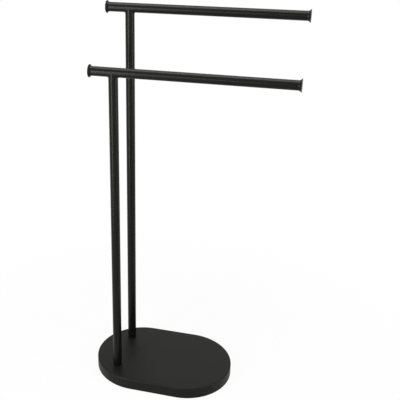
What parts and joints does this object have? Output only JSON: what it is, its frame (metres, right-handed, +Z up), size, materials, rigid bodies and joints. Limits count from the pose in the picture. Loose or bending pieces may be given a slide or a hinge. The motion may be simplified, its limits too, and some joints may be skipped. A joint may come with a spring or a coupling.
{
  "type": "freestanding towel stand",
  "caption": "Freestanding towel stand: upright tubes on a weighted oval base, each carrying a cantilevered towel bar with flared end caps, the rear bar higher than the front.",
  "frame": {"origin": "on the floor under the middle of the oval base, in the underside of the floor mat", "axes": "+X along the bars towards their long free ends, -Y towards the front (lower) bar, +Z up"},
  "size_m": [0.44, 0.218, 0.86],
  "materials": {
    "black_powder_coat": "satin black powder coat with a very fine grain",
    "zinc_plated_steel": "bright zinc plating",
    "cast_concrete": "cast fine concrete",
    "brass": "turned brass",
    "mat_rubber": "fine-textured black rubber"
  },
  "bodies": {
    "root": {"base_cover": "black_powder_coat", "front_post": "black_powder_coat", "rear_post": "black_powder_coat", "front_bar": "black_powder_coat", "rear_bar": "black_powder_coat", "front_bar_near_cap": "black_powder_coat", "front_bar_far_cap": "black_powder_coat", "rear_bar_near_cap": "black_powder_coat", "rear_bar_far_cap": "black_powder_coat", "front_joint_weld": "black_powder_coat", "rear_joint_weld": "black_powder_coat", "mounting_strap": "zinc_plated_steel", "floor_plate": "zinc_plated_steel", "floor_plate_screws": "zinc_plated_steel", "front_foot_plug": "zinc_plated_steel", "rear_foot_plug": "zinc_plated_steel", "front_post_bolt": "zinc_plated_steel", "rear_post_bolt": "zinc_plated_steel", "front_spring_washer": "zinc_plated_steel", "rear_spring_washer": "zinc_plated_steel", "front_flat_washer": "zinc_plated_steel", "rear_flat_washer": "zinc_plated_steel", "ballast_block": "cast_concrete", "ballast_bushes": "brass", "floor_mat": "mat_rubber"}
  },
  "joints": []
}
